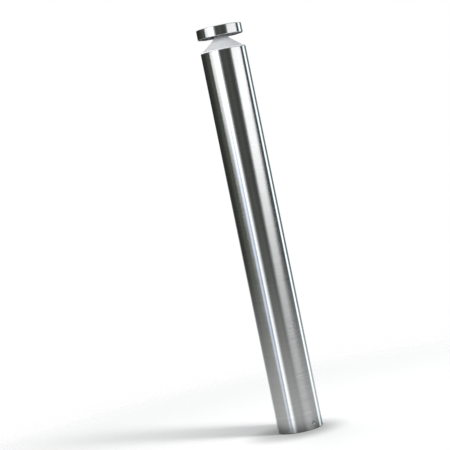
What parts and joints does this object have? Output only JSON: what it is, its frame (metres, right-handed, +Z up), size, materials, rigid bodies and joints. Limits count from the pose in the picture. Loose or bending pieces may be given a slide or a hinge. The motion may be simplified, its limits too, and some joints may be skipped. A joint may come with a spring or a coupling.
{
  "type": "bollard light",
  "caption": "Round stainless bollard light: a plain tube on a bolted base, a white cone reflector at its top and a flat disc lamp head shining down on the cone.",
  "frame": {"origin": "centre of the ground face of the base", "axes": "+Z up the post, -Y the front as it faces the viewer, +X to the viewer's right"},
  "size_m": [0.0888, 0.0888, 0.8],
  "materials": {
    "brushed_stainless": "satin stainless, fine grain running round the tube",
    "zinc_steel": "bright zinc plated",
    "white_casting": "white powder coat, satin",
    "black_casting": "gloss black powder coat",
    "raw_casting": "as-cast aluminium",
    "turned_aluminium": "turned",
    "board_white": "white solder resist on aluminium",
    "led_yellow": "phosphor, matt",
    "clear_polycarbonate": "clear, gloss",
    "black_rubber": "matt",
    "clear_silicone": "translucent, matt",
    "grey_silicone": "matt",
    "brass": "turned",
    "driver_case": "moulded, matt",
    "terminal_plastic": "moulded, matt",
    "black_plastic": "moulded, matt",
    "lead_red": "insulation",
    "lead_black": "insulation",
    "lead_brown": "insulation",
    "lead_blue": "insulation",
    "lead_green_yellow": "insulation, green with a yellow stripe"
  },
  "bodies": {
    "base": {"base_plate": "raw_casting", "ground_gasket": "black_rubber", "cable_grommet": "black_rubber"},
    "post": {"post_tube": "brushed_stainless", "foot_ring": "turned_aluminium", "tube_bridge": "brushed_stainless", "reflector_cone": "white_casting", "cone_o_ring": "black_rubber", "neck_gasket": "clear_silicone", "cap_shell": "brushed_stainless", "lamp_carrier": "black_casting", "cap_o_ring": "black_rubber", "cap_standoffs": "zinc_steel", "cap_screws": "zinc_steel", "thermal_pad": "grey_silicone", "led_board": "board_white", "led_chips": "led_yellow", "board_screws": "zinc_steel", "diffuser_ring": "clear_polycarbonate", "diffuser_seals": "clear_silicone", "centre_stem": "zinc_steel", "stem_top_nut": "brass", "stem_washer": "zinc_steel", "stem_lock_nut": "brass", "stem_bush": "black_plastic", "gear_tray": "zinc_steel", "led_driver": "driver_case", "driver_screws": "zinc_steel", "terminal_block": "terminal_plastic", "terminal_tubes": "brass", "terminal_clamp_screws": "zinc_steel", "terminal_fixing_screw": "zinc_steel", "cable_clamp": "black_plastic", "cable_clamp_screws": "zinc_steel", "earth_tag": "brass", "earth_screw": "zinc_steel", "earth_lead": "lead_green_yellow", "led_lead_positive": "lead_red", "led_lead_negative": "lead_black", "mains_lead_live": "lead_brown", "mains_lead_neutral": "lead_blue"},
    "locking_screw_right": {"locking_screw_right": "zinc_steel"},
    "locking_screw_rear": {"locking_screw_rear": "zinc_steel"},
    "locking_screw_left": {"locking_screw_left": "zinc_steel"}
  },
  "joints": [
    {"name": "post_lift", "type": "slide", "parent": "base", "child": "post", "axis": [0, 0, 1], "range_m": [0, 0.06]},
    {"name": "locking_screw_right_out", "type": "slide", "parent": "post", "child": "locking_screw_right", "axis": [0.6018, -0.7986, 0], "range_m": [0, 0.003]},
    {"name": "locking_screw_rear_out", "type": "slide", "parent": "post", "child": "locking_screw_rear", "axis": [0.3907, 0.9205, 0], "range_m": [0, 0.003]},
    {"name": "locking_screw_left_out", "type": "slide", "parent": "post", "child": "locking_screw_left", "axis": [-0.9925, -0.1219, 0], "range_m": [0, 0.003]}
  ]
}
